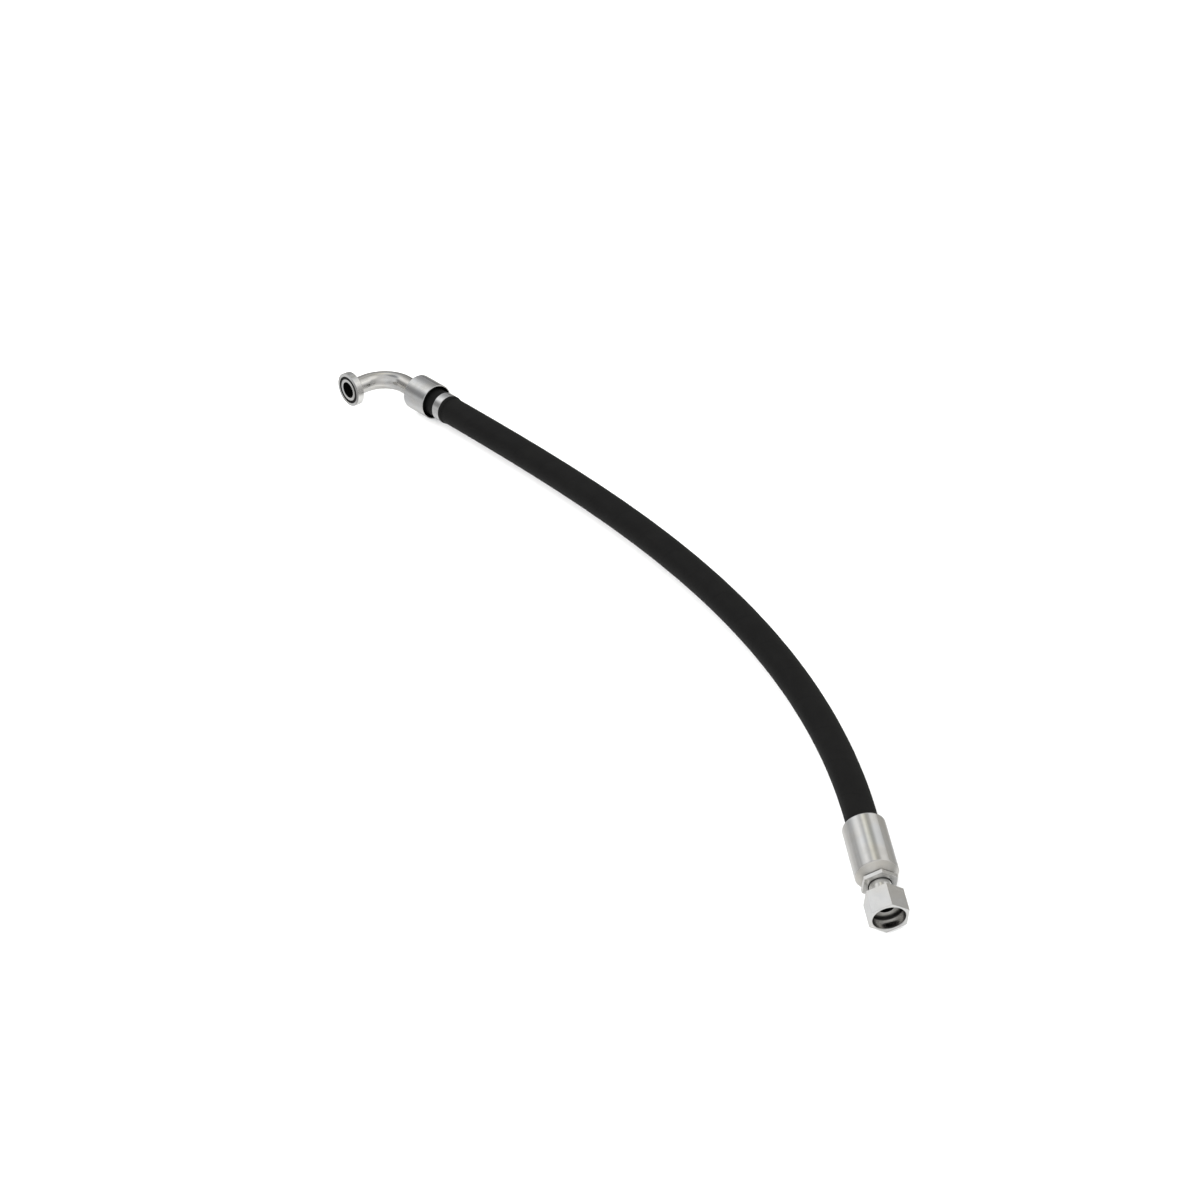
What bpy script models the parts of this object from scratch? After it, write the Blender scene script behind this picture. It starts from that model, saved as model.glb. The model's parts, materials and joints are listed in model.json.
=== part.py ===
"""Hydraulic hose assembly: a 19 mm bore spiral-wire hose with a 90 degree split-flange elbow on one
end (end A) and a flat-face swivel union nut on the other (end B).

Frame: metres, +Z up. +X runs along the hose where it leaves the flange end. The hose lies level and
curves towards -Y. The origin is the centre of the footprint, at the height of the lowest point.

The hose is cut into sections that meet in ball-and-socket faces, each centred on a bending joint,
so that neighbouring sections can tilt in any direction and never touch.
"""

import math

import bmesh
import bpy
from mathutils import Matrix, Vector

MM = 0.001

# ---- sizes shared by several pieces --------------------------------------------------------------
GAP = 0.3 * MM               # between parts that rest on or in each other
HOSE_R = 16.1 * MM
PIPE_R = 10.8 * MM
HOSE_END_A = -29.9 * MM      # the hose's cut end inside ferrule A, from the mouth
HOSE_END_B = 50.0 * MM       # the hose's cut end inside ferrule B, from the rim
BITE_R = HOSE_R + GAP        # crests of the rings inside a ferrule
BITE_ROOT_R = HOSE_R + 1.3 * MM

# The barbed tails that enter the hose, and the shoulders behind them
TAIL_R, TAIL_ROOT_R, TAIL_TIP_R, TAIL_BORE_R = 9.2 * MM, 8.6 * MM, 8.2 * MM, 7.3 * MM
TAPER_X, TIP_X = 9.0 * MM, 7.5 * MM   # start and end of the tip's taper, from the ferrule's mouth
SHOULDER_R, LOCK_R = 13.3 * MM, 12.2 * MM   # shoulder, and the groove in it that holds the ferrule

ROUND = 28                   # sides of a turned part
FERRULE_ROUND = 32

STEEL = (0.62, 0.61, 0.59)
BRIGHT = (0.72, 0.72, 0.71)
RING_METAL = (0.45, 0.36, 0.18)
WIRE = (0.50, 0.44, 0.30)
RUBBER = (0.013, 0.013, 0.012)
SEAL_RUBBER = (0.01, 0.01, 0.01)


# ---- materials and objects -----------------------------------------------------------------------
def metal(colour, roughness):
    return {"colour": colour, "roughness": roughness, "metallic": 1.0}


def rubber(colour, roughness):
    return {"colour": colour, "roughness": roughness, "metallic": 0.0}


def material(name, colour, roughness, metallic):
    made = bpy.data.materials.new(name)
    made.use_nodes = True
    inputs = made.node_tree.nodes["Principled BSDF"].inputs
    inputs["Base Color"].default_value = (*colour, 1)
    inputs["Roughness"].default_value = roughness
    inputs["Metallic"].default_value = metallic
    made.diffuse_color = (*colour, 1)
    return made


def add_object(mesh, matrix):
    """Adds an object named after its mesh."""
    obj = bpy.data.objects.new(mesh.name, mesh)
    bpy.context.scene.collection.objects.link(obj)
    obj.matrix_world = matrix
    return obj


def add_piece(mesh, matrix, finish):
    """Adds a visible piece with a material of its own."""
    obj = add_object(mesh, matrix)
    mesh.materials.append(material(mesh.name, **finish))
    return obj


def add_helper(mesh, matrix):
    """Adds a shape used only to cut or to join."""
    obj = add_object(mesh, matrix)
    obj.hide_render = True
    obj.display_type = "WIRE"
    return obj


def boolean(obj, other, operation):
    modifier = obj.modifiers.new(operation.title(), "BOOLEAN")
    modifier.object = other
    modifier.operation = operation
    modifier.solver = "EXACT"


def place(origin, direction):
    """A frame whose +X is the direction and whose +Z is as near as can be to straight up."""
    x = direction.normalized()
    y = Vector((0, 0, 1)).cross(x).normalized()
    return frame(origin, x, y, x.cross(y))


def frame(origin, x, y, z):
    matrix = Matrix((x, y, z)).transposed().to_4x4()
    matrix.translation = origin
    return matrix


# ---- meshes --------------------------------------------------------------------------------------
def finish_mesh(bm, name, smooth):
    bmesh.ops.recalc_face_normals(bm, faces=bm.faces)
    mesh = bpy.data.meshes.new(name)
    bm.to_mesh(mesh)
    bm.free()
    if smooth:
        mesh.shade_smooth()
        mesh.set_sharp_from_angle(angle=math.radians(35))
    return mesh


def turned_mesh(name, profile, steps=ROUND):
    """A closed (x, radius) outline turned once round the X axis."""
    bm = bmesh.new()
    verts = [bm.verts.new((x, radius, 0)) for x, radius in profile]
    edges = [bm.edges.new((verts[i], verts[(i + 1) % len(verts)])) for i in range(len(verts))]
    bmesh.ops.spin(bm, geom=verts + edges, cent=(0, 0, 0), axis=(1, 0, 0), dvec=(0, 0, 0),
                   angle=2 * math.pi, steps=steps, use_merge=True, use_duplicate=False)
    bmesh.ops.remove_doubles(bm, verts=bm.verts, dist=1e-6)
    return finish_mesh(bm, name, smooth=True)


def hex_mesh(name, across_flats, x_start, x_end, roll_deg=0):
    """A hexagonal bar along X. At roll 0 a corner points to +Y."""
    bm = bmesh.new()
    radius = across_flats / math.sqrt(3)
    angles = [math.radians(roll_deg + 60 * k) for k in range(6)]
    face = bm.faces.new([bm.verts.new((x_start, radius * math.cos(a), radius * math.sin(a)))
                         for a in angles])
    extruded = bmesh.ops.extrude_face_region(bm, geom=[face])["geom"]
    moved = [item for item in extruded if isinstance(item, bmesh.types.BMVert)]
    bmesh.ops.translate(bm, vec=(x_end - x_start, 0, 0), verts=moved)
    return finish_mesh(bm, name, smooth=False)


def pipe_mesh(name, stations, outer, inner, sides):
    """A hollow pipe with flat ends through stations of (point, direction), bent in the XY plane."""
    bm = bmesh.new()
    up = Vector((0, 0, 1))
    angles = [2 * math.pi * j / sides for j in range(sides)]
    outer_rings, inner_rings = [], []
    for point, direction in stations:
        across = direction.normalized().cross(up).normalized()
        for radius, rings in ((outer, outer_rings), (inner, inner_rings)):
            rings.append([bm.verts.new(point + radius * (math.cos(a) * up + math.sin(a) * across))
                          for a in angles])
    pairs = [pair for rings in (outer_rings, inner_rings) for pair in zip(rings, rings[1:])]
    pairs += [(outer_rings[i], inner_rings[i]) for i in (0, -1)]
    for ring, other in pairs:
        for j in range(sides):
            after = (j + 1) % sides
            bm.faces.new((ring[j], ring[after], other[after], other[j]))
    return finish_mesh(bm, name, smooth=True)


# ---- parts of outlines, as (x, radius) points ----------------------------------------------------
def barbs(x_from, x_to, pitch):
    """A barbed tail, sharp edges facing the fitting."""
    count = int(abs(x_to - x_from) / pitch)
    step = (x_to - x_from) / count
    points = []
    for k in range(count):
        x = x_from + step * k
        points += [(x, TAIL_R), (x + step * 0.9, TAIL_ROOT_R)]
    return points


def teeth(x_from, x_to, count):
    """The rings inside a ferrule that bite the hose."""
    pitch = (x_to - x_from) / count
    points = []
    for k in range(count):
        x = x_from + pitch * k
        points += [(x, BITE_ROOT_R), (x + pitch * 0.35, BITE_ROOT_R),
                   (x + pitch * 0.55, BITE_R), (x + pitch * 0.8, BITE_R)]
    return points


def shoulder(x_back, lock, x_hose, gap=0.0):
    """A shoulder with its lock groove, or the ferrule's inside that fits it with a gap.

    lock holds the groove's two ends, the one away from the hose first.
    """
    inset = math.copysign(gap, x_hose - x_back)
    x_far, x_near = lock[0] + inset, lock[1] - inset
    high, low = SHOULDER_R + gap, LOCK_R + gap
    return [(x_back, high), (x_far, high), (x_far, low), (x_near, low), (x_near, high),
            (x_hose, high)]


# ---- the hose's centreline, from the mouth of ferrule A to the rim of ferrule B ------------------
FREE_LENGTH = 892.0 * MM     # hose seen between the two ferrules
STRAIGHT_END = 10.0 * MM     # straight length before ferrule B
BEND_LENGTH = FREE_LENGTH - STRAIGHT_END
BEND_DEG = 34.4              # whole turn of the hose, to the right seen from above
BEND_EVEN = 0.122            # share of the turn spread almost evenly along the hose
EVEN_POWER = 1.2
BEND_POWER = 2.48            # the rest gathers towards end B
FIRST_PIVOT = 45.0 * MM      # first bending joint, from ferrule A
LAST_PIVOT = 25.0 * MM       # last bending joint, from ferrule B
JOINTS = 8
PIVOT_PITCH = (FREE_LENGTH - LAST_PIVOT - FIRST_PIVOT) / (JOINTS - 1)
CHORD = 0.5 * MM             # step for summing the centreline


def hose_direction(distance):
    t = min(distance / BEND_LENGTH, 1.0)
    share = BEND_EVEN * t ** EVEN_POWER + (1 - BEND_EVEN) * t ** BEND_POWER
    heading = -math.radians(BEND_DEG) * share
    return Vector((math.cos(heading), math.sin(heading), 0))


def centreline(distance):
    """Point of the centreline, by summing short chords."""
    count = round(distance / CHORD)
    chord = distance / count
    x = y = 0.0
    for k in range(count):
        # Python floats keep full precision, which a summed Vector would lose.
        t = min((k + 0.5) * chord / BEND_LENGTH, 1.0)
        share = BEND_EVEN * t ** EVEN_POWER + (1 - BEND_EVEN) * t ** BEND_POWER
        heading = -math.radians(BEND_DEG) * share
        x += math.cos(heading) * chord
        y += math.sin(heading) * chord
    return Vector((x, y, 0))


MOUTH_A = Vector((0, 0, 0))
DIRECTION_A = Vector((1, 0, 0))
RIM_B = centreline(FREE_LENGTH)
DIRECTION_B = hose_direction(FREE_LENGTH)
AT_A = place(MOUTH_A, DIRECTION_A)
AT_B = place(RIM_B, DIRECTION_B)

# ---- hose sections -------------------------------------------------------------------------------
BALL_GAP = 0.4 * MM          # between the ball and the socket of two sections
HOSE_ROUND = 24              # sides of a hose layer

# Name, inner radius, outer radius, steps across a ball or socket face, finish
LAYERS = (
    ("hose_tube", 9.5 * MM, 11.9 * MM, 1, rubber(RUBBER, roughness=0.6)),
    ("hose_wire", 12.2 * MM, 14.1 * MM, 1, metal(WIRE, roughness=0.4)),
    ("hose_cover", 14.4 * MM, HOSE_R, 2, rubber(RUBBER, roughness=0.75)),
)


def arc(centre, radius, r_from, r_to, steps):
    """Points of a sphere round a joint, on its +X side, between two distances from the axis."""
    start, end = math.asin(r_from / radius), math.asin(r_to / radius)
    angles = [start + (end - start) * k / steps for k in range(steps + 1)]
    return [(centre + radius * math.cos(a), radius * math.sin(a)) for a in angles]


def socket_face(inner, outer, steps):
    return arc(0.0, HOSE_R + BALL_GAP, inner, outer, steps)


def ball_face(centre, inner, outer, steps):
    return arc(centre, HOSE_R, outer, inner, steps)


def add_section(number, matrix, flat_start=None, ball_centre=None, flat_end=None):
    """A section starts in a socket or a flat cut, and ends in a ball or a flat cut."""
    for layer, inner, outer, steps, finish in LAYERS:
        if flat_start is None:
            profile = socket_face(inner, outer, steps)
        else:
            profile = [(flat_start, inner), (flat_start, outer)]
        if flat_end is None:
            profile += ball_face(ball_centre, inner, outer, steps)
        else:
            profile += [(flat_end, outer), (flat_end, inner)]
        add_piece(turned_mesh(f"{layer}_{number}", profile, HOSE_ROUND), matrix, finish)


def add_hose():
    pivots = [centreline(FIRST_PIVOT + PIVOT_PITCH * k) for k in range(JOINTS - 1)]
    pivots.append(RIM_B - DIRECTION_B * LAST_PIVOT)
    add_section(1, AT_A, flat_start=HOSE_END_A, ball_centre=pivots[0].x)
    for number, (pivot, following) in enumerate(zip(pivots, pivots[1:]), start=2):
        axis = following - pivot
        add_section(number, place(pivot, axis), ball_centre=axis.length)
    add_section(JOINTS + 1, place(pivots[-1], DIRECTION_B), flat_end=LAST_PIVOT + HOSE_END_B)


# ---- end A: flange head, O-ring and elbow, x measured from the flange face -----------------------
ELBOW_TWIST_DEG = 21.0       # the elbow is turned up out of the hose's plane by this much
DROP = 59.6 * MM             # flange face to the hose's centreline
ELBOW_TO_MOUTH = 95.9 * MM   # flange centreline to the mouth of ferrule A
ELBOW_BEND_R = 35.0 * MM
ELBOW_STEPS = 10
PIPE_BORE_R = 7.9 * MM
PIPE_SEAT_X = 6.0 * MM       # bottom of the pocket in the flange for the pipe
SOCKET_A = -34.3 * MM        # bottom of the pocket in nipple A for the pipe, from the mouth

FLANGE_R, FLANGE_T = 20.65 * MM, 8.8 * MM   # 41.3 mm head for a 3/4 in high-pressure split flange
FLANGE_BORE_R = 9.5 * MM
FACE_CHAMFER, BACK_CHAMFER, NECK_CHAMFER = 0.6 * MM, 0.8 * MM, 0.5 * MM
GROOVE_R0, GROOVE_R1, GROOVE_D = 13.4 * MM, 16.85 * MM, 2.8 * MM
NECK_R, NECK_END = 12.2 * MM, 13.0 * MM
O_RING_X = 1.35 * MM
O_RING_HALF_X, O_RING_HALF_R = 1.15 * MM, 1.4 * MM   # half its section, along and across X

TWIST = math.radians(ELBOW_TWIST_DEG)
INTO_ELBOW = Vector((0, math.cos(TWIST), -math.sin(TWIST)))   # from the flange face to the elbow
FLANGE_CENTRE = Vector((-ELBOW_TO_MOUTH, 0, 0)) - INTO_ELBOW * DROP
AT_FLANGE = place(FLANGE_CENTRE, INTO_ELBOW)


def add_flange_head():
    profile = [
        (0.0, FLANGE_BORE_R), (0.0, GROOVE_R0), (GROOVE_D, GROOVE_R0), (GROOVE_D, GROOVE_R1),
        (0.0, GROOVE_R1), (0.0, FLANGE_R - FACE_CHAMFER), (FACE_CHAMFER, FLANGE_R),
        (FLANGE_T - BACK_CHAMFER, FLANGE_R), (FLANGE_T, FLANGE_R - BACK_CHAMFER),
        (FLANGE_T, NECK_R), (NECK_END - NECK_CHAMFER, NECK_R), (NECK_END, NECK_R - NECK_CHAMFER),
        (NECK_END, PIPE_R + GAP), (PIPE_SEAT_X, PIPE_R + GAP), (PIPE_SEAT_X, FLANGE_BORE_R),
    ]
    add_piece(turned_mesh("flange_head", profile, 36), AT_FLANGE, metal(STEEL, roughness=0.35))


def add_o_ring():
    middle = (GROOVE_R0 + GROOVE_R1) / 2
    angles = [2 * math.pi * k / 8 for k in range(8)]
    profile = [(O_RING_X - O_RING_HALF_X * math.cos(a), middle + O_RING_HALF_R * math.sin(a))
               for a in angles]
    add_piece(turned_mesh("flange_o_ring", profile), AT_FLANGE,
              rubber(SEAL_RUBBER, roughness=0.45))


def add_elbow():
    """Its frame: X into the elbow from the flange face, Y along the hose, Z normal to both."""
    at_elbow = frame(FLANGE_CENTRE, INTO_ELBOW, DIRECTION_A, INTO_ELBOW.cross(DIRECTION_A))
    stations = [(Vector((PIPE_SEAT_X + GAP, 0, 0)), Vector((1, 0, 0)))]
    for k in range(ELBOW_STEPS + 1):
        angle = math.pi / 2 * k / ELBOW_STEPS
        point = Vector((DROP - ELBOW_BEND_R + ELBOW_BEND_R * math.sin(angle),
                        ELBOW_BEND_R * (1 - math.cos(angle)), 0))
        stations.append((point, Vector((math.cos(angle), math.sin(angle), 0))))
    stations.append((Vector((DROP, ELBOW_TO_MOUTH + SOCKET_A - GAP, 0)), Vector((0, 1, 0))))
    add_piece(pipe_mesh("elbow_pipe", stations, PIPE_R, PIPE_BORE_R, sides=24), at_elbow,
              metal(STEEL, roughness=0.3))


# ---- end A: nipple, ferrule, band and collar, x measured from the ferrule's mouth ----------------
NIPPLE_X0, NIPPLE_SHOULDER_X1 = -41.2 * MM, -31.4 * MM
LOCK_A = (-38.3 * MM, -35.1 * MM)
NIPPLE_BARBS_X, NIPPLE_BARB_PITCH = -28.0 * MM, 6.3 * MM

FERRULE_A_R = 21.3 * MM
FERRULE_A_LEN = 36.0 * MM    # cylinder, without its closed shoulder
FERRULE_A_BACK_X, FERRULE_A_BACK_R = -40.6 * MM, 15.2 * MM
MOUTH_A_R = 19.8 * MM        # the ferrule stands open round the hose
MOUTH_A_TAPER_X = -9.0 * MM
BITE_A_X0, BITE_A_X1 = -30.6 * MM, -12.0 * MM
FERRULE_A_CHAMFER, FERRULE_A_BACK_CHAMFER = 0.7 * MM, 1.0 * MM   # the back one along X

BAND_X0, BAND_X1, BAND_R = 13.6 * MM, 24.8 * MM, 17.3 * MM
COLLAR_X0, COLLAR_X1, COLLAR_R = BAND_X1 + GAP, 30.0 * MM, 17.4 * MM


def add_nipple_a():
    profile = [
        (NIPPLE_X0, PIPE_R + GAP), *shoulder(NIPPLE_X0, LOCK_A, NIPPLE_SHOULDER_X1),
        (NIPPLE_SHOULDER_X1, TAIL_R), *barbs(NIPPLE_BARBS_X, -TAPER_X, NIPPLE_BARB_PITCH),
        (-TAPER_X, TAIL_ROOT_R), (-TIP_X, TAIL_TIP_R), (-TIP_X, TAIL_BORE_R),
        (SOCKET_A, TAIL_BORE_R), (SOCKET_A, PIPE_R + GAP),
    ]
    add_piece(turned_mesh("nipple_a", profile), AT_A, metal(STEEL, roughness=0.4))


def add_ferrule_a():
    profile = [
        (0.0, MOUTH_A_R), (0.0, FERRULE_A_R - FERRULE_A_CHAMFER),
        (-FERRULE_A_CHAMFER, FERRULE_A_R), (-FERRULE_A_LEN + FERRULE_A_BACK_CHAMFER, FERRULE_A_R),
        (-FERRULE_A_LEN, FERRULE_A_R - FERRULE_A_CHAMFER), (FERRULE_A_BACK_X, FERRULE_A_BACK_R),
        *shoulder(FERRULE_A_BACK_X, LOCK_A, BITE_A_X0, GAP), *teeth(BITE_A_X0, BITE_A_X1, 2),
        (BITE_A_X1, BITE_R), (MOUTH_A_TAPER_X, MOUTH_A_R),
    ]
    add_piece(turned_mesh("ferrule_a", profile, FERRULE_ROUND), AT_A,
              metal(BRIGHT, roughness=0.35))


def add_tag_band():
    profile = [(BAND_X0, HOSE_R + GAP), (BAND_X0, BAND_R), (BAND_X1, BAND_R),
               (BAND_X1, HOSE_R + GAP)]
    add_piece(turned_mesh("tag_band", profile), AT_A, metal(BRIGHT, roughness=0.35))


def add_band_collar():
    profile = [
        (COLLAR_X0, HOSE_R + GAP), (COLLAR_X0, COLLAR_R - 0.3 * MM),
        (BAND_X1 + 0.8 * MM, COLLAR_R), (COLLAR_X1 - 1.6 * MM, COLLAR_R),
        (COLLAR_X1, HOSE_R + 0.5 * MM), (COLLAR_X1, HOSE_R + GAP),
    ]
    add_piece(turned_mesh("band_collar", profile), AT_A, rubber(RUBBER, roughness=0.6))


# ---- end B, x measured from the hose-side rim of its ferrule -------------------------------------
FERRULE_B_R, FERRULE_B_LEN = 21.4 * MM, 60.0 * MM
CONE_B_X1, CONE_B_R = FERRULE_B_LEN + 8.2 * MM, 15.0 * MM
RIM_ROUND, RIM_ROUND_STEP = 2.2 * MM, 0.7 * MM   # the rim's rounding, and its middle point
BITE_B_X0, BITE_B_X1 = 5.0 * MM, 51.0 * MM

INSERT_SHOULDER_X0 = 51.4 * MM
LOCK_B = (62.8 * MM, 58.2 * MM)
INSERT_BARBS_X, INSERT_BARB_PITCH = 47.0 * MM, 7.6 * MM
HEX_AF, HEX_X0, HEX_X1, HEX_ROLL_DEG = 32.8 * MM, 68.8 * MM, 73.3 * MM, 10.0
TAIL_OVERLAP = 1.5 * MM      # the tail runs this far into the hexagon
TAIL_HOLE_R = 5.0 * MM       # hole left in the tail before it is bored

NUT_AF, NUT_ROLL_DEG = 36.0 * MM, 10.0
NUT_X0 = 87.4 * MM
NUT_X1 = NUT_X0 + 26.1 * MM
NUT_SHOULDER_X = NUT_X0 + 4.2 * MM
NUT_NECK_R, NUT_BORE_R, NUT_MOUTH_R = 11.3 * MM, 15.8 * MM, 16.5 * MM
NUT_MOUTH_X = NUT_X1 - 1.0 * MM
# Thread relief behind the nut's thread
RELIEF_R, RELIEF_X0, RELIEF_X1 = 16.6 * MM, NUT_X1 - 15.7 * MM, NUT_X1 - 11.5 * MM

STEM_R = 10.9 * MM
STEM_X0 = HEX_X1 - 2.8 * MM
POCKET_R = STEM_R + 0.6 * MM   # pocket in the hexagon round the stem
SEAT_X = NUT_X1 - 13.9 * MM  # flat sealing face
SEAT_BORE_R, SEAT_TAPER = 8.4 * MM, 2.0 * MM
HEAD_R, HEAD_X0 = 15.4 * MM, SEAT_X - 5.4 * MM
HEAD_EDGE = 1.2 * MM         # chamfer round the sealing face
OVERSHOOT = 2.0 * MM         # how far a bore cutter passes the end it cuts


def add_ferrule_b():
    profile = [
        (0.0, BITE_R), (0.0, FERRULE_B_R - RIM_ROUND),
        (RIM_ROUND_STEP, FERRULE_B_R - RIM_ROUND_STEP), (RIM_ROUND, FERRULE_B_R),
        (FERRULE_B_LEN, FERRULE_B_R), (CONE_B_X1, CONE_B_R),
        *shoulder(CONE_B_X1, LOCK_B, BITE_B_X1, GAP), (BITE_B_X1, BITE_R),
        *reversed(teeth(BITE_B_X0, BITE_B_X1, 4)),
    ]
    add_piece(turned_mesh("ferrule_b", profile, FERRULE_ROUND), AT_B,
              metal(BRIGHT, roughness=0.35))


def add_insert_b():
    """A hexagon joined to a barbed tail, then bored through."""
    insert = add_piece(hex_mesh("insert_b", HEX_AF, HEX_X0, HEX_X1, HEX_ROLL_DEG), AT_B,
                       metal(BRIGHT, roughness=0.3))
    tail_x1 = HEX_X0 + TAIL_OVERLAP
    tail = add_helper(turned_mesh("cut_insert_tail", [
        (tail_x1, TAIL_HOLE_R), *shoulder(tail_x1, LOCK_B, INSERT_SHOULDER_X0),
        (INSERT_SHOULDER_X0, TAIL_R), *barbs(INSERT_BARBS_X, TAPER_X, INSERT_BARB_PITCH),
        (TAPER_X, TAIL_ROOT_R), (TIP_X, TAIL_TIP_R), (TIP_X, TAIL_HOLE_R),
    ]), AT_B)
    bore_x0, bore_x1, bore_hole_r = 5.0 * MM, HEX_X1 + OVERSHOOT, 3.0 * MM
    bore = add_helper(turned_mesh("cut_insert_bore", [
        (bore_x0, bore_hole_r), (bore_x0, TAIL_BORE_R), (STEM_X0 - GAP, TAIL_BORE_R),
        (STEM_X0 - GAP, POCKET_R), (bore_x1, POCKET_R), (bore_x1, bore_hole_r),
    ]), AT_B)
    # The bore cutter is hollow; this core clears its middle.
    core = add_helper(hex_mesh("cut_insert_core", 8.0 * MM, 4.0 * MM, HEX_X1 + 3.0 * MM), AT_B)
    boolean(insert, tail, "UNION")
    boolean(insert, bore, "DIFFERENCE")
    boolean(insert, core, "DIFFERENCE")


def add_union_stem():
    profile = [
        (STEM_X0, TAIL_BORE_R), (STEM_X0, STEM_R), (HEAD_X0, STEM_R), (HEAD_X0, HEAD_R),
        (SEAT_X - HEAD_EDGE, HEAD_R), (SEAT_X, HEAD_R - HEAD_EDGE), (SEAT_X, SEAT_BORE_R),
        (SEAT_X - SEAT_TAPER, TAIL_BORE_R),
    ]
    add_piece(turned_mesh("union_stem", profile), AT_B, metal(BRIGHT, roughness=0.3))


def add_thrust_ring():
    x_start, x_end = NUT_SHOULDER_X + GAP, HEAD_X0 - GAP
    inner, outer = STEM_R + GAP, NUT_BORE_R - GAP
    profile = [(x_start, inner), (x_start, outer), (x_end, outer), (x_end, inner)]
    add_piece(turned_mesh("thrust_ring", profile), AT_B, metal(RING_METAL, roughness=0.4))


def add_swivel_nut():
    nut = add_piece(hex_mesh("swivel_nut", NUT_AF, NUT_X0, NUT_X1, NUT_ROLL_DEG), AT_B,
                    metal(BRIGHT, roughness=0.25))
    bore_x0, bore_x1, bore_hole_r = NUT_X0 - OVERSHOOT, NUT_X1 + OVERSHOOT, 4.0 * MM
    bore = add_helper(turned_mesh("cut_nut_bore", [
        (bore_x0, bore_hole_r), (bore_x0, NUT_NECK_R), (NUT_SHOULDER_X, NUT_NECK_R),
        (NUT_SHOULDER_X, NUT_BORE_R), (RELIEF_X0, NUT_BORE_R), (RELIEF_X0, RELIEF_R),
        (RELIEF_X1, RELIEF_R), (RELIEF_X1, NUT_BORE_R), (NUT_MOUTH_X, NUT_BORE_R),
        (NUT_X1, NUT_MOUTH_R), (bore_x1, NUT_MOUTH_R), (bore_x1, bore_hole_r),
    ], 40), AT_B)
    core = add_helper(hex_mesh("cut_nut_core", 9.0 * MM, NUT_X0 - 3.0 * MM, NUT_X1 + 3.0 * MM),
                      AT_B)
    boolean(nut, bore, "DIFFERENCE")
    boolean(nut, core, "DIFFERENCE")


# ---- assembly ------------------------------------------------------------------------------------
def move_to_origin():
    """Puts the origin at the centre of the footprint, at the lowest point."""
    bpy.context.view_layer.update()
    graph = bpy.context.evaluated_depsgraph_get()
    points = []
    for obj in bpy.context.scene.objects:
        if not obj.hide_render:
            shape = obj.evaluated_get(graph)
            points += [shape.matrix_world @ vert.co for vert in shape.data.vertices]
    low = [min(values) for values in zip(*points)]
    high = [max(values) for values in zip(*points)]
    origin = Vector(((low[0] + high[0]) / 2, (low[1] + high[1]) / 2, low[2]))
    for obj in bpy.context.scene.objects:
        obj.matrix_world = Matrix.Translation(-origin) @ obj.matrix_world
    bpy.context.view_layer.update()


for old in list(bpy.data.objects):
    bpy.data.objects.remove(old, do_unlink=True)

add_hose()
add_flange_head()
add_o_ring()
add_elbow()
add_nipple_a()
add_ferrule_a()
add_tag_band()
add_band_collar()
add_ferrule_b()
add_insert_b()
add_union_stem()
add_thrust_ring()
add_swivel_nut()
move_to_origin()
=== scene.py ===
"""Looks of a hydraulic hose assembly: a flange and its elbow, a bending hose between two swaged ferrules, and a swivel
nut, on a pale floor under soft studio light.

Metres, +Z up. The hose leaves the elbow's ferrule along +X and bends level towards -Y. The floor is just below z = 0.
"""

import json
import math

import bmesh
import bpy
from mathutils import Matrix, Vector

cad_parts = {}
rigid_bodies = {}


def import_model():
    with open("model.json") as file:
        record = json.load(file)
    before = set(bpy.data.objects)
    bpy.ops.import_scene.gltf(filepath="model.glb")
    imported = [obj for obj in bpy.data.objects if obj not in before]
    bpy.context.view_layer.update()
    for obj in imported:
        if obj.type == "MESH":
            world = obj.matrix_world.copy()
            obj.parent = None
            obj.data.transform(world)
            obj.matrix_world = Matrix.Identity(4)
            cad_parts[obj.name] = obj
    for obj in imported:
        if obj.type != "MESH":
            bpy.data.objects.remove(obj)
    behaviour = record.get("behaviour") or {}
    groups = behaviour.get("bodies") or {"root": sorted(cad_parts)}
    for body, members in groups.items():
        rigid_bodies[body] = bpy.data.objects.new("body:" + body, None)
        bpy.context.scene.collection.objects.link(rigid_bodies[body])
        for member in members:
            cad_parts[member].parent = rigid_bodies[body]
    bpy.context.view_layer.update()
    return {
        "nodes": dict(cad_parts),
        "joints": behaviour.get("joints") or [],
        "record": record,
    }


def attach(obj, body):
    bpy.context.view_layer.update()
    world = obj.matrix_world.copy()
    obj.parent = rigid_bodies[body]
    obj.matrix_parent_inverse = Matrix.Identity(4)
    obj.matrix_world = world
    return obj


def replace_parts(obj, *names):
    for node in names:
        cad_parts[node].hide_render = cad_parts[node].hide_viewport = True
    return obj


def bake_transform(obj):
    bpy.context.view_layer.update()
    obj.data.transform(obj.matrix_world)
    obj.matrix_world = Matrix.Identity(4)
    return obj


for old in list(bpy.data.objects):
    bpy.data.objects.remove(old, do_unlink=True)

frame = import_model()


# ---- sizes ----------------------------------------------------------------------------------------------------------
MM = 0.001
FULL_TURN = 2 * math.pi

HOSE_R = 16.1 * MM
HOSE_BORE_R = 9.5 * MM
FREE_LENGTH = 892.0 * MM         # hose between the two ferrule mouths
HOSE_IN_FERRULE_A = 29.9 * MM
HOSE_IN_FERRULE_B = 50.0 * MM
TAPE_PITCH = 46.0 * MM           # length of hose for one turn of the cloth tape that marks it

# The hose turns by BEND_ANGLE over BEND_LENGTH: a nearly even share, and the rest mostly near the far end.
BEND_LENGTH = 882.0 * MM
BEND_ANGLE = math.radians(34.4)
EVEN_SHARE, EVEN_POWER, LATE_POWER = 0.122, 1.2, 2.48
LINE_STEP = 0.5 * MM

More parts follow.
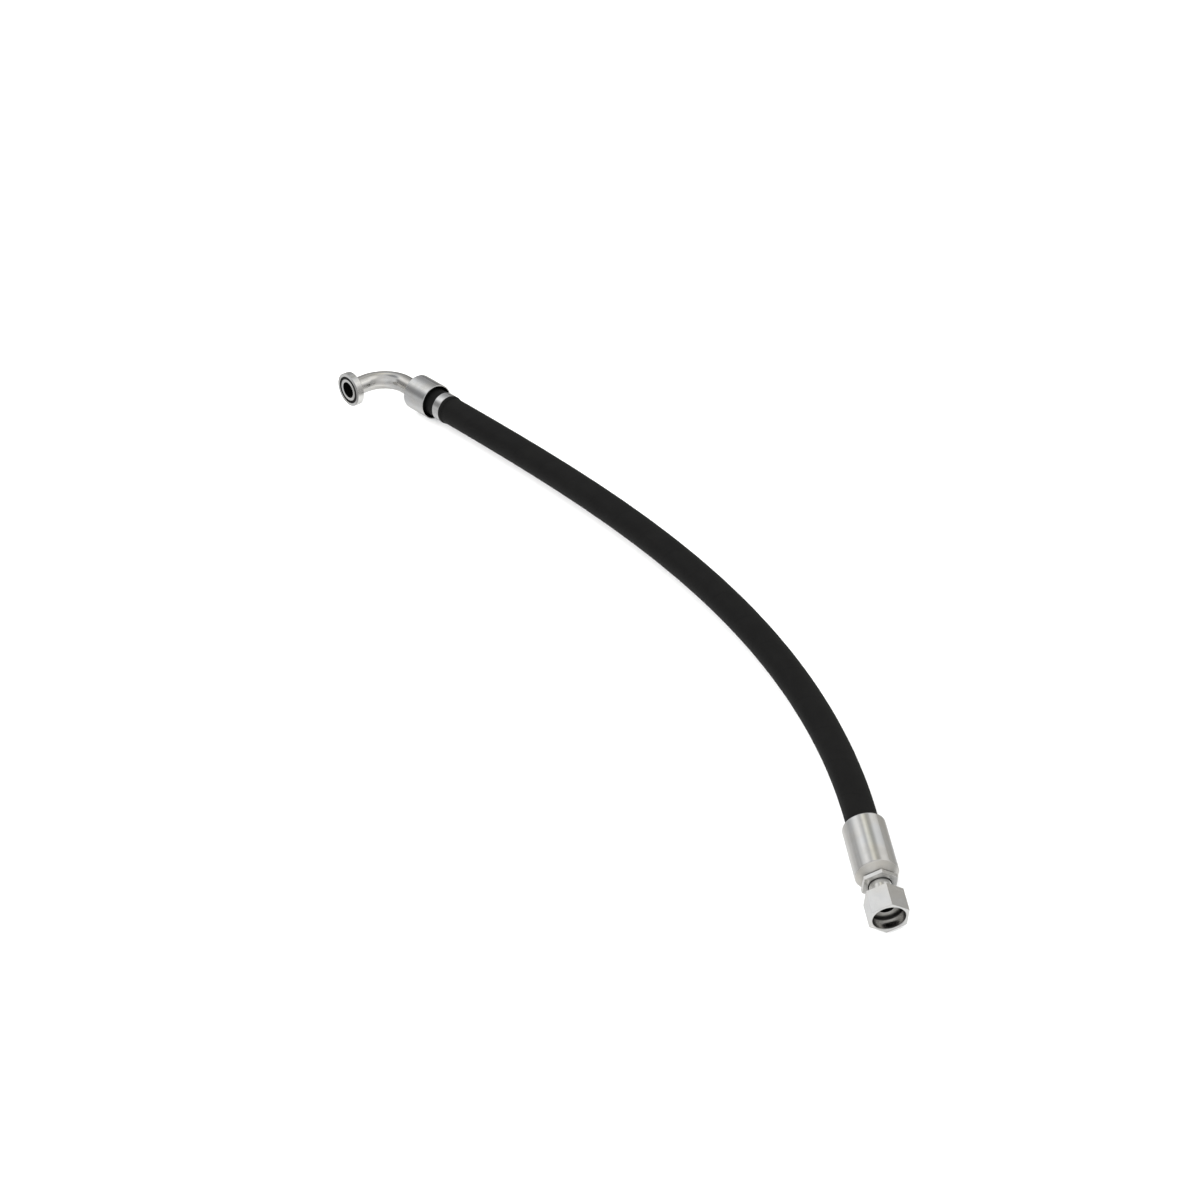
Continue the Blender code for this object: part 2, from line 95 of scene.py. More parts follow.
JOINTS = 8
FIRST_PIVOT = 45.0 * MM          # from the start of the hose
LAST_PIVOT = 25.0 * MM           # from its end
PIVOT_PITCH = (FREE_LENGTH - LAST_PIVOT - FIRST_PIVOT) / (JOINTS - 1)

ELBOW_DROP = 59.6 * MM           # flange face to the hose's axis
ELBOW_TO_MOUTH = 95.9 * MM       # flange's axis to the ferrule mouth
ELBOW_BEND_R = 35.0 * MM
ELBOW_END_TO_MOUTH = 34.6 * MM
ELBOW_START = 6.3 * MM           # behind the flange face
PIPE_R, PIPE_BORE_R = 10.8 * MM, 7.9 * MM

TOOTH_CREST_R = HOSE_R + 0.3 * MM
TOOTH_ROOT_R = HOSE_R + 1.3 * MM

HEX_ROLL = 10.0                  # degrees from across to the first corner of both hexagons
HEX_CORNER_R = 0.3 * MM
INSERT_FLATS = 32.8 * MM
NUT_FLATS = 36.0 * MM
NUT_BACK, NUT_FRONT = 87.4 * MM, 113.5 * MM
SOCKET_FLOOR = 99.6              # mm, end face of the stem inside the nut


# ---- centreline and frames ------------------------------------------------------------------------------------------
def heading(s):
    """The hose's direction in the level plane, at distance s from its start."""
    t = min(max(s / BEND_LENGTH, 0.0), 1.0)
    return -BEND_ANGLE * (EVEN_SHARE * t ** EVEN_POWER + (1 - EVEN_SHARE) * t ** LATE_POWER)


def level(angle):
    return Vector((math.cos(angle), math.sin(angle), 0))


line_points = [Vector((0, 0, 0))]
while len(line_points) * LINE_STEP < FREE_LENGTH + HOSE_IN_FERRULE_B + 2 * LINE_STEP:
    middle = (len(line_points) - 0.5) * LINE_STEP
    line_points.append(line_points[-1] + level(heading(middle)) * LINE_STEP)


def from_start(s):
    """Step from the start of the hose to its centreline at distance s."""
    if s <= 0:
        return Vector((s, 0, 0))
    k = min(int(s / LINE_STEP), len(line_points) - 2)
    return line_points[k].lerp(line_points[k + 1], s / LINE_STEP - k)


def axes_at(origin, x, y, z):
    matrix = Matrix((x, y, z)).transposed().to_4x4()
    matrix.translation = origin
    return matrix


def facing(origin, direction):
    """A frame whose +X is the direction and whose +Z is as near as can be to up."""
    x = direction.normalized()
    y = UP.cross(x).normalized()
    return axes_at(origin, x, y, x.cross(y))


ALONG, ACROSS, UP = Vector((1, 0, 0)), Vector((0, 1, 0)), Vector((0, 0, 1))
joint = {j["name"]: j for j in frame["joints"]}
mount = {m["name"]: m for m in frame["record"]["mounts"]}

hose_start = Vector(joint["hose_bend_near_flange"]["pos_m"]) - from_start(FIRST_PIVOT)
nut_axis = Vector(joint["nut_slide"]["axis"]).normalized()
hose_end = Vector(joint["hose_bend_8"]["pos_m"]) + nut_axis * LAST_PIVOT
into_elbow = -Vector(mount["flange_face"]["axis"]).normalized()
flange_centre = hose_start - ALONG * ELBOW_TO_MOUTH - into_elbow * ELBOW_DROP

at_start = facing(hose_start, ALONG)
at_end = facing(hose_end, nut_axis)
at_flange = facing(flange_centre, into_elbow)
at_elbow = axes_at(flange_centre, into_elbow, ALONG, into_elbow.cross(ALONG))


# ---- meshes ---------------------------------------------------------------------------------------------------------
def ring(along, centre, across, upright, polar, at=Matrix()):
    """A ring through the (angle, radius) pairs of polar: its points, and their own places (along, across, across) on
    the piece."""
    points, places = [], []
    for angle, radius in polar:
        y, z = radius * math.cos(angle), radius * math.sin(angle)
        points.append(at @ (centre + y * across + z * upright))
        places.append(Vector((along, y, z)))
    return points, places


def circle_angles(sides):
    return [FULL_TURN * k / sides for k in range(sides)]


def loft(name, rings, material, sharp=40, bore_material=None, bore_pairs=()):
    """Joins rings into one closed skin, the last ring to the first. The places are kept as the attribute lc, which
    the materials read. bore_material covers the skin after each ring numbered in bore_pairs."""
    bm = bmesh.new()
    layer = bm.verts.layers.float_vector.new("lc")
    rows = []
    for points, places in rings:
        row = []
        for point, place in zip(points, places):
            vert = bm.verts.new(point)
            vert[layer] = place
            row.append(vert)
        rows.append(row)
    for i, (row, after) in enumerate(zip(rows, rows[1:] + rows[:1])):
        for j in range(len(row)):
            k = (j + 1) % len(row)
            face = bm.faces.new((row[j], row[k], after[k], after[j]))
            face.material_index = 1 if i in bore_pairs else 0
    bmesh.ops.recalc_face_normals(bm, faces=bm.faces)
    mesh = bpy.data.meshes.new(name)
    bm.to_mesh(mesh)
    bm.free()
    mesh.shade_smooth()
    mesh.set_sharp_from_angle(angle=math.radians(sharp))
    piece = bpy.data.objects.new(name, mesh)
    bpy.context.scene.collection.objects.link(piece)
    mesh.materials.append(material)
    if bore_material:
        mesh.materials.append(bore_material)
    return piece


def filleted(points, steps=4):
    """A closed outline of (x, r) or (x, r, fillet) with its corners rounded, and a point close to each side of a round
    so that the flat beside it shades flat."""
    support = 0.12 * MM
    out = []
    for i, point in enumerate(points):
        corner = Vector(point[:2])
        if len(point) < 3:
            out.append(corner)
            continue
        back = Vector(points[i - 1][:2]) - corner
        ahead = Vector(points[(i + 1) % len(points)][:2]) - corner
        back_length, ahead_length = back.length, ahead.length
        back, ahead = back / back_length, ahead / ahead_length
        half = back.angle(ahead) / 2
        trim = min(point[2] / math.tan(half), 0.45 * back_length, 0.45 * ahead_length)
        fillet = trim * math.tan(half)
        centre = corner + (back + ahead).normalized() * (fillet / math.sin(half))
        first = corner + back * trim - centre
        last = corner + ahead * trim - centre
        start = math.atan2(first.y, first.x)
        sweep = (math.atan2(last.y, last.x) - start + math.pi) % FULL_TURN - math.pi
        out.append(corner + back * min(trim + support, 0.49 * back_length))
        for k in range(steps + 1):
            angle = start + sweep * k / steps
            out.append(centre + Vector((math.cos(angle), math.sin(angle))) * fillet)
        out.append(corner + ahead * min(trim + support, 0.49 * ahead_length))
    return [(p.x, p.y) for p in out]


def spun(name, outline, at, material, angles, bore_material, bore):
    """Rings of ("hex", x, apothem) or ("round", x, radius) about X, joined into one closed skin. The skin no further
    out than the radius bore has its own material."""
    rings = []
    for kind, x, size in outline:
        polar = [(a, hex_radius(a, size) if kind == "hex" else size) for a in angles]
        rings.append(ring(x, ALONG * x, ACROSS, UP, polar, at))
    within = [kind == "round" and size <= bore for kind, _, size in outline]
    pairs = {i for i in range(len(within)) if within[i] and within[(i + 1) % len(within)]}
    return loft(name, rings, material, bore_material=bore_material, bore_pairs=pairs)


def turned(name, outline, at, material, sides=160, bore_material=None, bore=0.0):
    """An outline of (x, r) turned about X."""
    rounds = [("round", x, r) for x, r in outline]
    return spun(name, rounds, at, material, circle_angles(sides), bore_material, bore)


def hexed(name, outline, at, material, bore_material, bore):
    """An outline of hexagons and circles, with points close together at the hexagon's corners."""
    near = (29.92, 29.84, 29.76, 29.68, 29.6, 29.5, 29.4, 29.1, 28.6, 28.2, 27.0)
    side = sorted([-30 + 2.5 * k for k in range(24)] + [sign * d for sign in (-1, 1) for d in near])
    angles = [math.radians(HEX_ROLL + 30 + 60 * k + b) for k in range(6) for b in side]
    return spun(name, outline, at, material, angles, bore_material, bore)


def hex_radius(angle, apothem):
    """Distance to the side of a hexagon with rounded corners."""
    b = math.radians(abs((math.degrees(angle) - HEX_ROLL) % 60 - 30))
    x = apothem - HEX_CORNER_R
    y = x * math.tan(math.radians(30))
    if apothem * math.tan(b) <= y:
        return apothem / math.cos(b)
    dot = x * math.cos(b) + y * math.sin(b)
    return dot + math.sqrt(max(dot * dot - (x * x + y * y - HEX_CORNER_R ** 2), 0.0))


def hex_side(x_from, x_to, apothem, edge):
    """The outside of a hexagonal bar with both its rims rounded by edge, in four steps."""
    support = 0.15 * MM
    out = []
    for x, sign in ((x_from, 1), (x_to, -1)):
        rim = [("hex", x, apothem - edge - support)]
        for k in range(5):
            a = math.pi / 2 * k / 4
            rim.append(("hex", x + sign * edge * (1 - math.cos(a)), apothem - edge * (1 - math.sin(a))))
        rim.append(("hex", x + sign * (edge + support), apothem))
        out += rim[::sign]
    return out


def circles(*points, start=0.0):
    """Circles of a hexed outline from (x, r) in mm, with x counted from start."""
    return [("round", start + x * MM, r * MM) for x, r in points]


def mm(*points):
    return [tuple(c * MM for c in point) for point in points]


def teeth(x_from, x_to, count):
    """Flat-topped teeth that bite the hose, as (x, r)."""
    points = []
    pitch = (x_to - x_from) / count
    for k in range(count):
        x = x_from + pitch * k
        points += [(x, TOOTH_ROOT_R), (x + pitch * 0.35, TOOTH_ROOT_R),
                   (x + pitch * 0.55, TOOTH_CREST_R), (x + pitch * 0.8, TOOTH_CREST_R)]
    return points


def repaint(piece, at, slot, chosen):
    """Gives a material slot to the faces whose centre, as (x, radius) on the piece, is chosen."""
    inverse = at.inverted()
    for face in piece.data.polygons:
        x, y, z = inverse @ face.center
        if chosen(x, math.hypot(y, z)):
            face.material_index = slot


def fasten(piece, node, body):
    """The piece stands in for a CAD node and moves with a body."""
    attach(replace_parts(piece, node), body)


# ---- shader nodes ---------------------------------------------------------------------------------------------------
class Nodes:
    """Builds the shader nodes of a material or world. Every method but node and finish returns output sockets."""

    def __init__(self, owner):
        self.owner = owner
        owner.use_nodes = True
        self.tree = owner.node_tree
        self.tree.nodes.clear()

    def node(self, kind, inputs=None, **settings):
        made = self.tree.nodes.new(kind)
        for key, value in settings.items():
            setattr(made, key, value)
        for key, value in (inputs or {}).items():
            if isinstance(value, bpy.types.NodeSocket):
                self.tree.links.new(value, made.inputs[key])
            else:
                made.inputs[key].default_value = value
        return made

    def place(self):
        return self.node("ShaderNodeAttribute", attribute_name="lc").outputs["Vector"]

    def stretch(self, vector, scale, rotation=(0, 0, 0)):
        inputs = {"Vector": vector, "Rotation": rotation, "Scale": scale}
        return self.node("ShaderNodeMapping", inputs).outputs["Vector"]

    def noise(self, vector, scale=1.0, detail=3.0, rough=0.5):
        inputs = {"Vector": vector, "Scale": scale, "Detail": detail, "Roughness": rough}
        return self.node("ShaderNodeTexNoise", inputs).outputs["Fac"]

    def math(self, operation, a, b=0.0):
        inputs = {0: a, 1: b, 2: 0.0}
        return self.node("ShaderNodeMath", inputs, operation=operation).outputs["Value"]

    def plus(self, a, b):
        return self.math("ADD", a, b)

    def times(self, a, b):
        return self.math("MULTIPLY", a, b)

    def span(self, value, lo, hi, to_lo=0.0, to_hi=1.0, kind="SMOOTHSTEP"):
        """Carries lo..hi to to_lo..to_hi, held at both ends."""
        inputs = {"Value": value, "From Min": lo, "From Max": hi, "To Min": to_lo, "To Max": to_hi}
        return self.node("ShaderNodeMapRange", inputs, interpolation_type=kind).outputs["Result"]

    def mix(self, fac, a, b):
        a, b = ((*c, 1.0) if isinstance(c, tuple) else c for c in (a, b))
        return self.node("ShaderNodeMix", {0: fac, 6: a, 7: b}, data_type="RGBA").outputs[2]

    def bump(self, height, strength, distance, normal=None):
        inputs = {"Height": height, "Strength": strength, "Distance": distance}
        if normal is not None:
            inputs["Normal"] = normal
        return self.node("ShaderNodeBump", inputs).outputs["Normal"]

    def parts(self, vector):
        outputs = self.node("ShaderNodeSeparateXYZ", {"Vector": vector}).outputs
        return outputs[0], outputs[1], outputs[2]

    def glossy(self):
        return self.node("ShaderNodeLightPath").outputs["Is Glossy Ray"]

    def finish(self, **inputs):
        named = {key.replace("_", " "): value for key, value in inputs.items()}
        shader = self.node("ShaderNodeBsdfPrincipled", named)
        self.node("ShaderNodeOutputMaterial", {0: shader.outputs[0]})
        return self.owner


def new_look(name):
    return Nodes(bpy.data.materials.new(name))


# ---- steel ----------------------------------------------------------------------------------------------------------
# Noise scales are per metre, bump distances are in metres.
PLATED = (0.8, 0.797, 0.785)


def dimmed(tone, share):
    return tuple(c * share for c in tone)


def film_colour(look, place, cloud, tone, tint, film):
    """A plating film of uneven thickness, here warmer and there cooler."""
    hue = look.noise(place, scale=38.0, detail=2.0)
    colour = look.mix(look.span(cloud, lo=0.35, hi=0.7), tone, dimmed(tone, 1 - film))
    warm = (tone[0] * 1.02, tone[1] * 0.975, tone[2] * 0.9)
    cool = (tone[0] * 0.93, tone[1] * 0.98, tone[2] * 1.05)
    return look.mix(tint, colour, look.mix(look.span(hue, lo=0.35, hi=0.65), cool, warm))


def painted_reflection_wedge(look, colour, tone, spot, radius, wedge):
    """A painted reflection: the dark wedge that a turned face shows towards -Y, with a fainter one opposite."""
    x, y, z = spot
    side = look.math("SUBTRACT", look.times(z, 0.17), y)
    side = look.math("DIVIDE", side, look.math("MAXIMUM", radius, 0.001))
    opposite = look.times(look.span(side, lo=-0.6, hi=-1.0), 0.25)
    wedges = look.plus(look.span(side, lo=0.42, hi=1.0), opposite)
    on_face = look.times(look.math("LESS_THAN", x, wedge[0]),
                         look.span(radius, lo=wedge[1], hi=wedge[1] + 0.004))
    return look.mix(look.times(look.times(wedges, on_face), 0.6), colour, dimmed(tone, 0.22))


def corner_shade(look, colour, reach, lo, hi, depth, shade):
    """Paints shade into corners: none at openness lo, the full depth at hi."""
    openness = look.node("ShaderNodeAmbientOcclusion", {"Distance": reach}, samples=6).outputs["AO"]
    return look.mix(look.span(openness, lo=lo, hi=hi, to_hi=depth), colour, shade)


# paints shade into the closed bottom of a socket, darkest where its floor meets the wall
def pit_shade(look, colour, tone, x, radius, pit):
    floor_x, depth, rim_r, width = pit
    along = look.span(x, lo=floor_x, hi=floor_x + depth, to_lo=1.0, to_hi=0.0)
    across = look.span(radius, lo=rim_r, hi=rim_r + width)
    return look.mix(look.times(look.times(along, across), 0.66), colour, dimmed(tone, 0.02))


def scratches(look, place):
    """Handling scratches: thin lines in three directions, broken up by a slow noise."""
    marks = None
    for i, turn in enumerate((0.35, 1.3, 2.4)):
        spun_place = look.stretch(place, scale=(1900.0, 55.0, 55.0),
                                  rotation=(turn, turn * 0.7, turn * 1.9))
        thin = look.span(look.noise(spun_place, detail=1.0, rough=0.4), lo=0.665, hi=0.71)
        patches = look.noise(place, scale=90.0 + 40.0 * i, detail=2.0)
        thin = look.times(thin, look.span(patches, lo=0.54, hi=0.66))
        marks = thin if marks is None else look.math("MAXIMUM", marks, thin)
    return marks


def steel(name, rough, rings, tone=PLATED, streak=0.0, tint=0.25, film=0.1, grain=0.0, wedge=None,
          close=(3.5 * MM, 0.75), tight=None, pit=None):
    """Plated steel. rings is the strength of fine turning lines, streak that of lengthwise lines, tint that of the
    film's hues, film that of its uneven thickness, grain that of a fine pebble. wedge is (x, r): the face before x and
    outside r gets a painted reflection, a dark wedge. close is the reach and depth of the painted shade in corners,
    tight the same for a painted shadow line where parts touch. pit is (x of its bottom, depth, radius of its rim,
    width): the painted shade in the closed bottom of a socket."""
    look = new_look(name)
    place = look.place()
    x, y, z = look.parts(place)
    radius = look.math("SQRT", look.plus(look.times(y, y), look.times(z, z)))
    # turning lines change quickly along the axis and the radius, and not at all round the axis
    profile = look.node("ShaderNodeCombineXYZ", {0: x, 1: radius, 2: 0.0}).outputs[0]
    lines = look.noise(profile, scale=5200.0, rough=0.6)
    broad = look.noise(profile, scale=620.0, detail=2.0)
    cloud = look.noise(place, scale=70.0, detail=4.0, rough=0.55)
    speck = look.noise(place, scale=2100.0, detail=2.0, rough=0.6)
    darker = dimmed(tone, 0.72)

    colour = film_colour(look, place, cloud, tone, tint, film)
    if streak:
        fine = look.noise(look.stretch(place, (26.0, 900.0, 900.0)), detail=4.0, rough=0.6)
        wide = look.noise(look.stretch(place, (9.0, 210.0, 210.0)), rough=0.55)
        colour = look.mix(look.times(look.span(fine, lo=0.42, hi=0.68), streak * 0.7), colour, darker)
        colour = look.mix(look.times(look.span(wide, lo=0.45, hi=0.62), streak), colour,
                          dimmed(tone, 0.5))
    colour = look.mix(look.times(look.span(lines, lo=0.55, hi=0.75), rings * 0.35), colour, darker)
    if wedge:
        colour = painted_reflection_wedge(look, colour, tone, (x, y, z), radius, wedge)
    # painted shade in corners, and a painted shadow line where parts touch
    if close:
        colour = corner_shade(look, colour, reach=close[0], lo=1.0, hi=0.35, depth=close[1],
                              shade=dimmed(tone, 0.08))
    if tight:
        colour = corner_shade(look, colour, reach=tight[0], lo=0.95, hi=0.55, depth=tight[1],
                              shade=dimmed(tone, 0.05))
    if pit:
        colour = pit_shade(look, colour, tone, x, radius, pit)

    marks = scratches(look, place)
    roughness = look.plus(look.span(cloud, lo=0.3, hi=0.7, to_lo=rough * 0.8, to_hi=rough * 1.25),
                          look.times(look.span(speck, lo=0.5, hi=0.8), 0.08))
    if streak:
        roughness = look.plus(roughness, look.times(fine, 0.14 * streak))
    roughness = look.plus(roughness, look.times(marks, 0.07))

    normal = look.bump(lines, strength=rings * 0.5, distance=0.00002)
    normal = look.bump(marks, strength=0.12, distance=0.00001, normal=normal)
    normal = look.bump(broad, strength=rings * 0.5, distance=0.00006, normal=normal)
    if grain:
        pebble = look.noise(place, scale=1500.0, detail=2.0, rough=0.55)
        normal = look.bump(pebble, strength=grain, distance=0.00001, normal=normal)
    if streak:
        normal = look.bump(fine, strength=0.5 * streak, distance=0.00005, normal=normal)
        normal = look.bump(wide, strength=0.6 * streak, distance=0.0002, normal=normal)
    return look.finish(Base_Color=colour, Metallic=1.0, Roughness=roughness, Normal=normal)


# ---- rubber and bore ------------------------------------------------------------------------------------------------
def cover_rubber(name):
    """Black rubber cured under wound cloth tape: a fine weave, the slanting edges of the tape, with painted shade in
    the hollows along them.
    """
    threads_round, thread_pitch, slant = 92.0, 1.1 * MM, 0.22
    look = new_look(name)
    place = look.place()
    x, y, z = look.parts(place)
    turns = look.math("DIVIDE", look.math("ARCTAN2", z, y), FULL_TURN)
    # weave: threads at right angles, following the tape's slant; a whole number of them goes round
    around = look.times(turns, threads_round)
    along = look.math("DIVIDE", x, thread_pitch)
    slanted = look.plus(around, look.times(along, slant))
    warp = look.math("SINE", look.times(slanted, FULL_TURN))
    weft = look.math("SINE", look.times(along, FULL_TURN))
    weave = look.times(look.plus(look.times(warp, weft), 1.0), 0.5)
    tape = look.math("FRACT", look.plus(look.math("DIVIDE", x, TAPE_PITCH), turns))
    edge = look.times(look.span(tape, lo=0.0, hi=0.03), look.span(tape, lo=1.0, hi=0.985))
    step = look.span(tape, lo=0.0, hi=1.0, kind="LINEAR")
    cloud = look.noise(place, scale=45.0, detail=5.0, rough=0.6)
    grain = look.noise(place, scale=1600.0, rough=0.65)
    rubbed = look.noise(look.stretch(place, (20.0, 120.0, 120.0)), detail=4.0, rough=0.6)

    dark, light = (0.0024, 0.0024, 0.0023), (0.004, 0.004, 0.0037)
    thread, worn, edge_hollow_shade = (0.0062, 0.0061, 0.0057), (0.009, 0.0087, 0.0082), (0.0013,) * 3
    colour = look.mix(look.span(cloud, lo=0.3, hi=0.72), dark, light)
    colour = look.mix(look.times(weave, 0.35), colour, thread)
    colour = look.mix(look.times(look.span(rubbed, lo=0.6, hi=0.82), 0.3), colour, worn)
    # painted shade in the hollows along the tape's edges
    colour = look.mix(look.times(look.math("SUBTRACT", 1.0, edge), 0.5), colour, edge_hollow_shade)
    normal = look.bump(step, strength=0.35, distance=0.00015)
    normal = look.bump(edge, strength=0.4, distance=0.00008, normal=normal)
    normal = look.bump(weave, strength=0.5, distance=0.00007, normal=normal)
    normal = look.bump(grain, strength=0.35, distance=0.00004, normal=normal)
    return look.finish(Base_Color=colour, Normal=normal, Specular_IOR_Level=0.16,
                       Roughness=look.span(grain, lo=0.2, hi=0.8, to_lo=0.5, to_hi=0.68))


def clouded(name, dark, light, cloud_scale, cloud_hi, rough, grain_scale, grain, specular):
    """A dark surface between two colours. rough is its least and greatest roughness, grain its bump's strength."""
    look = new_look(name)
    place = look.place()
    cloud = look.noise(place, scale=cloud_scale, detail=4.0, rough=0.6)
    pebble = look.noise(place, scale=grain_scale, rough=0.6)
    return look.finish(
        Base_Color=look.mix(look.span(cloud, lo=0.3, hi=cloud_hi), dark, light),
        Roughness=look.span(cloud, lo=0.3, hi=0.7, to_lo=rough[0], to_hi=rough[1]),
        Normal=look.bump(pebble, strength=grain, distance=0.00003),
        Specular_IOR_Level=specular)


plated = steel("plated_steel_turned", rough=0.15, rings=0.25, tint=0.2)
# the flange's face gets a painted reflection, a dark wedge towards -Y
flange_steel = steel("plated_steel_flange", rough=0.16, rings=0.25, tint=0.2,
                     wedge=(0.3 * MM, 9.6 * MM), close=None)
plated_nut = steel("plated_steel_nut", rough=0.17, rings=0.02, tint=0.2, film=0.03)
plated_pipe = steel("plated_steel_pipe", tone=(0.81, 0.8, 0.78), rough=0.11, rings=0.02, streak=0.06)
swaged = steel("swaged_steel", rough=0.15, rings=0.0, streak=0.1, tint=0.3, grain=0.35)
# painted shade near the insert's hexagon, and a painted shadow line along its edge
cone_steel = steel("swaged_steel_cone", tone=(0.74, 0.725, 0.69), rough=0.36, rings=0.05,
                   streak=0.06, tint=0.3, close=(6 * MM, 0.9), tight=(2.2 * MM, 0.85))
band_steel = steel("band_steel", tone=(0.8, 0.8, 0.8), rough=0.16, rings=0.05, tint=0.1)
# the inside of the nut: the steel in a darker tone as painted shade, with more painted shade where the seat meets the
# wall
nut_inside = steel("turned_steel_nut_inside", tone=(0.7, 0.69, 0.67), rough=0.17, rings=0.05,
                   tint=0.1, close=None, pit=(SOCKET_FLOOR * MM, 3.2 * MM, 10.4 * MM, 5.4 * MM))
bronze = steel("turned_bronze", tone=(0.5, 0.38, 0.2), rough=0.3, rings=0.4, tint=0.0)
hidden_steel = steel("turned_steel_inside", tone=(0.6, 0.59, 0.57), rough=0.32, rings=0.4)
# painted shade: the skin inside a bore, nearly black
painted_bore_shade = clouded("painted_bore_shade", dark=(0.0012, 0.0012, 0.0012), light=(0.003, 0.0029, 0.0027),
                    cloud_scale=300.0, cloud_hi=0.7, rough=(0.45, 0.65),
                    grain_scale=1900.0, grain=0.4, specular=0.06)
cover = cover_rubber("hose_cover_rubber")
collar_rubber = cover_rubber("collar_rubber")
seal_rubber = clouded("seal_rubber", dark=(0.00112,) * 3, light=(0.00256, 0.002512, 0.0024),
                      cloud_scale=160.0, cloud_hi=0.75, rough=(0.306, 0.432),
                      grain_scale=2600.0, grain=0.3, specular=0.12)

# ---- flange end -----------------------------------------------------------------------------------------------------
# Outlines are (x, r) or (x, r, fillet), in mm.
GROOVE_IN, GROOVE_OUT = 13.4, 16.85   # radii of the O-ring's groove
HEAD = mm(
    (0, 9.5, 0.35), (0, GROOVE_IN, 0.15), (2.8, GROOVE_IN, 0.2), (2.8, GROOVE_OUT, 0.2),
    (0, GROOVE_OUT, 0.15), (0, 20.65, 0.7), (8.8, 20.65, 0.8), (8.8, 12.6, 0.8), (11.6, 11.9, 0.5),
    (13.0, 11.2, 0.3), (13.0, 11.1), (6.0, 11.1), (6.0, 9.5, 0.2))
head = turned("flange_head_body", filleted(HEAD, 5), at_flange, flange_steel, 192,
              bore_material=painted_bore_shade, bore=11.15 * MM)
fasten(head, "flange_head", "flange_end")

seal_outline = mm(*((1.35 - 1.15 * math.cos(a), (GROOVE_IN + GROOVE_OUT) / 2 + 1.4 * math.sin(a))
                    for a in circle_angles(24)))
o_ring = turned("flange_o_ring_body", seal_outline, at_flange, seal_rubber)
fasten(o_ring, "flange_o_ring", "flange_end")


def elbow_stations():
    """(distance, point, direction) along the bent pipe, in the elbow's own frame."""
    bend_x = ELBOW_DROP - ELBOW_BEND_R
    end_y = ELBOW_TO_MOUTH - ELBOW_END_TO_MOUTH
    stations = [(0.0, Vector((ELBOW_START, 0, 0)), ALONG)]
    for k in range(49):
        a = math.pi / 2 * k / 48
        point = Vector((bend_x + ELBOW_BEND_R * math.sin(a), ELBOW_BEND_R * (1 - math.cos(a)), 0))
        stations.append((bend_x - ELBOW_START + ELBOW_BEND_R * a, point, level(a)))
    end = stations[-1][0] + end_y - ELBOW_BEND_R
    return stations + [(end, Vector((ELBOW_DROP, end_y, 0)), ACROSS)]


def elbow_pipe():
    """The hollow pipe: its outer skin is followed one way and the bore back."""
    stations = elbow_stations()
    rings = []
    for radius, order in ((PIPE_R, stations), (PIPE_BORE_R, stations[::-1])):
        polar = [(a, radius) for a in circle_angles(128)]
        for s, point, direction in order:
            rings.append(ring(s, point, UP, direction.cross(UP).normalized(), polar, at_elbow))
    return loft("elbow_pipe_body", rings, plated_pipe, bore_material=painted_bore_shade,
                bore_pairs=range(len(stations) - 1, 2 * len(stations)))


fasten(elbow_pipe(), "elbow_pipe", "flange_end")

FERRULE_A = [
    *mm((0, 19.8, 0.5), (0, 21.3, 0.6), (-36.0, 21.3, 1.4), (-40.6, 15.2, 0.6), (-40.6, 13.6),
        (-38.0, 13.6), (-38.0, 12.5), (-35.4, 12.5), (-35.4, 13.6), (-30.6, 13.6)),
    *teeth(-30.6 * MM, -12.0 * MM, 3),
    *mm((-12.0, 16.4), (-9.0, 19.8, 0.8))]
ferrule_a = turned("ferrule_a_body", filleted(FERRULE_A, 6), at_start, swaged, 192,
                   bore_material=painted_bore_shade)
# the inside of the mouth takes the nearly black painted bore shade
repaint(ferrule_a, at_start, 1, lambda x, r: x > -34 * MM and r < 19.9 * MM)
fasten(ferrule_a, "ferrule_a", "flange_end")

# ---- hose joints ----------------------------------------------------------------------------------------------------
# The place of each joint's pivot, as a distance from the start of the hose.
pivot_s = [FIRST_PIVOT + PIVOT_PITCH * k for k in range(JOINTS)]


# ---- band and collar, on the hose beside the elbow's ferrule --------------------------------------------------------
BAND = mm((13.6, 16.25, 0.1), (13.6, 17.3, 0.35), (24.8, 17.3, 0.35), (24.8, 16.25, 0.1))
COLLAR = mm((25.0, 16.25, 0.1), (25.0, 17.35, 0.5), (27.6, 17.2, 2.2), (30.0, 16.35, 0.15),
            (30.0, 16.2, 0.05))
for node, outline, steps, material, slot in (
        ("tag_band", BAND, 4, band_steel, "band_steel"),
        ("band_collar", COLLAR, 6, collar_rubber, "cover_rubber")):
    piece = turned(f"{node}_body", filleted(outline, steps), at_start, material)
    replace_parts(piece, node)
    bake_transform(piece)

# ---- hose: one piece for each joint, meeting in the middle of the rigid sections ------------------------------------
TONGUE, TUCK = 6.0 * MM, 0.03 * MM   # each piece slides under the one before it, so that no gap opens
SWELL = 0.03 * MM                    # a fine swell of the cover
RING_PITCH = 2.6 * MM
seams = [-HOSE_IN_FERRULE_A, *((a + b) / 2 for a, b in zip(pivot_s, pivot_s[1:])),
         FREE_LENGTH + HOSE_IN_FERRULE_B]


def hose_ring(s, outside, tuck):
    if outside:
        polar = [(a, HOSE_R + SWELL * math.sin(s * FULL_TURN / TAPE_PITCH + a) - tuck)
                 for a in circle_angles(96)]
    else:
        polar = [(a, HOSE_BORE_R + tuck) for a in circle_angles(96)]
    along = level(heading(s))
    return ring(s, hose_start + from_start(s), Vector((-along.y, along.x, 0)), UP, polar)


